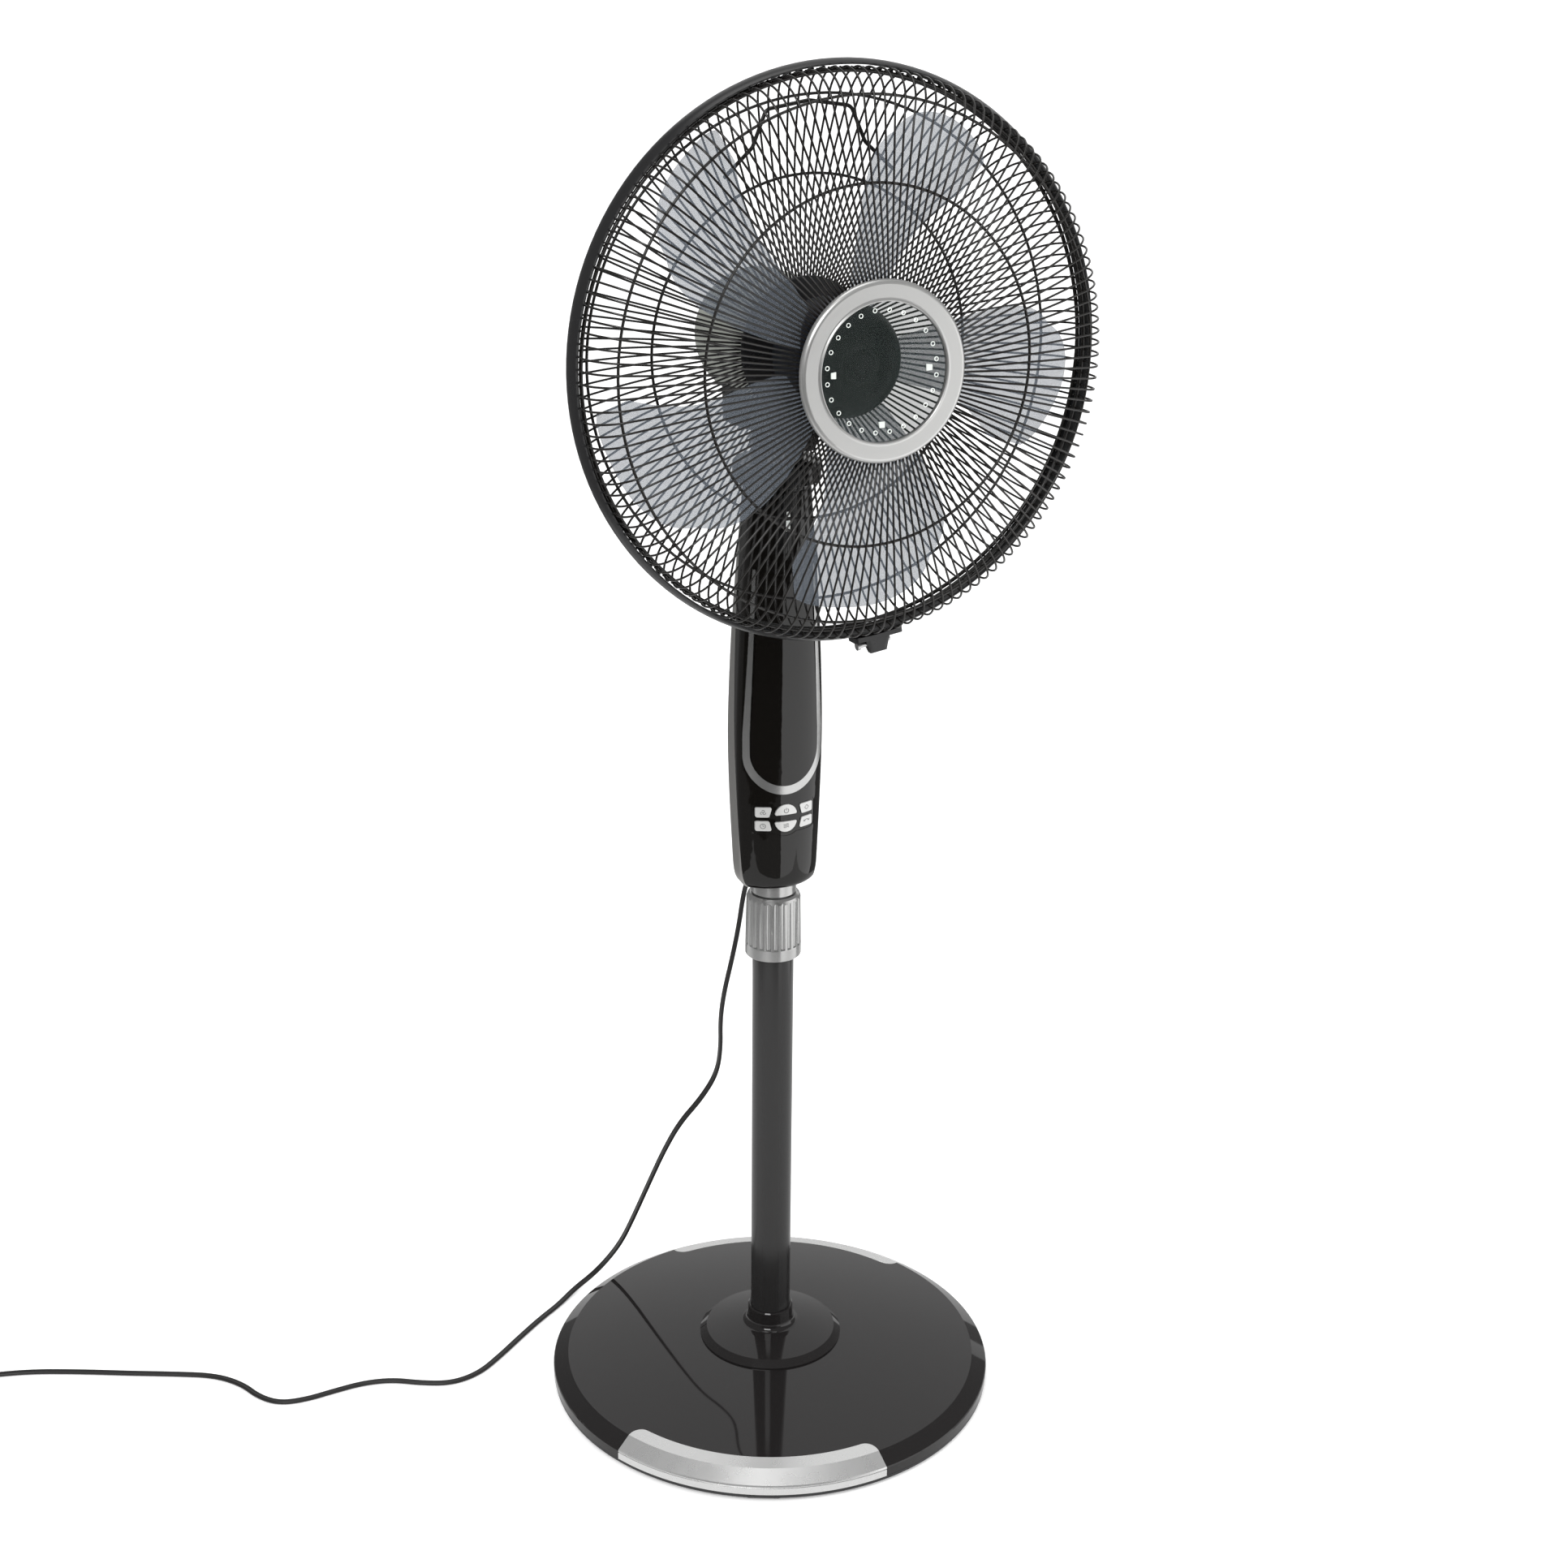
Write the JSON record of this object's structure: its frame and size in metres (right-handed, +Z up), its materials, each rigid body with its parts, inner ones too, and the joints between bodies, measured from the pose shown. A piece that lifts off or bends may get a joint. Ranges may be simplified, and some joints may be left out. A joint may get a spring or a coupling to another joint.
{
  "type": "pedestal fan",
  "caption": "Pedestal fan with a weighted round base, a telescopic pole with a fluted collar, a control column with push keys, and a tilting, swinging caged blade head.",
  "frame": {"origin": "on the floor under the middle of the round base", "axes": "+Z up, -Y the way the control column faces, +X to the right of somebody in front of it"},
  "size_m": [1.0373, 0.4348, 1.1893],
  "materials": {
    "base_gloss": "polished dark grey",
    "silver": "satin silver lacquer",
    "concrete": "cast",
    "black_plastic": "fine texture",
    "rubber": "soft",
    "zinc": "zinc plated",
    "pole_paint": "satin black enamel",
    "tube_silver": "bright plated",
    "column_gloss": "polished black",
    "column_back": "satin silver lacquer",
    "key": "satin silver with printed signs",
    "board": "green circuit board",
    "switch": "moulded",
    "display": "pale light windows",
    "wire": "satin black-brown enamel",
    "rim": "satin",
    "ring_silver": "satin silver lacquer",
    "window": "clear grey-green tint",
    "motor_shell": "pale grey-green",
    "motor_metal": "cast",
    "steel": "laminated",
    "blade": "translucent bluish grey",
    "hub": "dark navy",
    "cord": "satin vinyl",
    "brass": "bright"
  },
  "bodies": {
    "base": {"base_cover": "base_gloss", "base_insert_front": "silver", "base_insert_rear": "silver", "base_weight": "concrete", "base_plate": "black_plastic", "base_feet": "rubber", "base_fasteners": "zinc", "pole_outer": "pole_paint", "pole_cover": "base_gloss", "pole_bush": "black_plastic"},
    "collar": {"height_collar": "silver"},
    "column": {"pole_inner": "tube_silver", "column_socket": "silver", "column_front": "column_gloss", "column_rear": "column_back", "column_screws": "zinc", "panel_trim": "silver", "panel_inset": "column_gloss", "display_lights": "display", "control_board": "board", "tact_switches": "switch", "cord_gland": "black_plastic", "swivel_cap": "column_gloss", "tilt_bolt": "zinc", "tilt_knob": "black_plastic", "power_cord": "cord", "plug": "cord", "plug_pins": "brass"},
    "neck": {"tilt_knuckle": "black_plastic", "swing_shaft": "steel"},
    "head": {"motor_front_bell": "motor_metal", "rear_bell": "motor_metal", "stator_core": "steel", "motor_shell": "motor_shell", "gearbox_block": "motor_metal", "gearbox_cover": "black_plastic", "front_guard_wires": "wire", "rear_guard_wires": "wire", "front_guard_rings": "wire", "rear_guard_rings": "wire", "rear_guard_plate": "rim", "guard_nut": "rim", "rim_band": "rim", "band_clamp": "rim", "band_screw": "zinc", "hub_ring": "ring_silver", "hub_window": "window", "guard_handle": "wire"},
    "rotor": {"motor_shaft": "steel", "fan_blades": "blade", "fan_hub": "hub", "spinner_cap": "hub"},
    "crank": {"swing_crank": "steel"},
    "key_power": {"key_power": "key"},
    "key_mode": {"key_mode": "key"},
    "key_speed": {"key_speed": "key"},
    "key_timer": {"key_timer": "key"},
    "key_breeze": {"key_breeze": "key"},
    "key_swing": {"key_swing": "key"}
  },
  "joints": [
    {"name": "collar_turn", "type": "hinge", "parent": "base", "child": "collar", "pos_m": [0, 0, 0.456], "axis": [0, 0, 1], "range_deg": [-120, 0]},
    {"name": "height_slide", "type": "slide", "parent": "base", "child": "column", "axis": [0, 0, 1], "range_m": [0, 0.2]},
    {"name": "tilt", "type": "hinge", "parent": "column", "child": "neck", "pos_m": [0, 0, 0.882], "axis": [1, 0, 0], "range_deg": [-16.4, 13.6]},
    {"name": "swing", "type": "hinge", "parent": "neck", "child": "head", "pos_m": [0, 0, 0.882], "axis": [0, 0.0628, 0.998], "range_deg": [-44, 36]},
    {"name": "rotor_spin", "type": "hinge", "parent": "head", "child": "rotor", "pos_m": [0.00813, -0.11095, 0.971], "axis": [0.0698, -0.9956, 0.0626], "continuous": true},
    {"name": "crank_turn", "type": "hinge", "parent": "head", "child": "crank", "pos_m": [0.01626, 0.0144, 0.93305], "axis": [0, 0.0628, 0.998], "continuous": true},
    {"name": "key_power_press", "type": "slide", "parent": "column", "child": "key_power", "axis": [0, 1, 0], "range_m": [0, 0.0008], "stiffness_N_per_m": 1500, "springref_m": -0.0002},
    {"name": "key_mode_press", "type": "slide", "parent": "column", "child": "key_mode", "axis": [0, 1, 0], "range_m": [0, 0.0008], "stiffness_N_per_m": 1500, "springref_m": -0.0002},
    {"name": "key_speed_press", "type": "slide", "parent": "column", "child": "key_speed", "axis": [0, 1, 0], "range_m": [0, 0.0008], "stiffness_N_per_m": 1500, "springref_m": -0.0002},
    {"name": "key_timer_press", "type": "slide", "parent": "column", "child": "key_timer", "axis": [0, 1, 0], "range_m": [0, 0.0008], "stiffness_N_per_m": 1500, "springref_m": -0.0002},
    {"name": "key_breeze_press", "type": "slide", "parent": "column", "child": "key_breeze", "axis": [0, 1, 0], "range_m": [0, 0.0008], "stiffness_N_per_m": 1500, "springref_m": -0.0002},
    {"name": "key_swing_press", "type": "slide", "parent": "column", "child": "key_swing", "axis": [0, 1, 0], "range_m": [0, 0.0008], "stiffness_N_per_m": 1500, "springref_m": -0.0002}
  ]
}
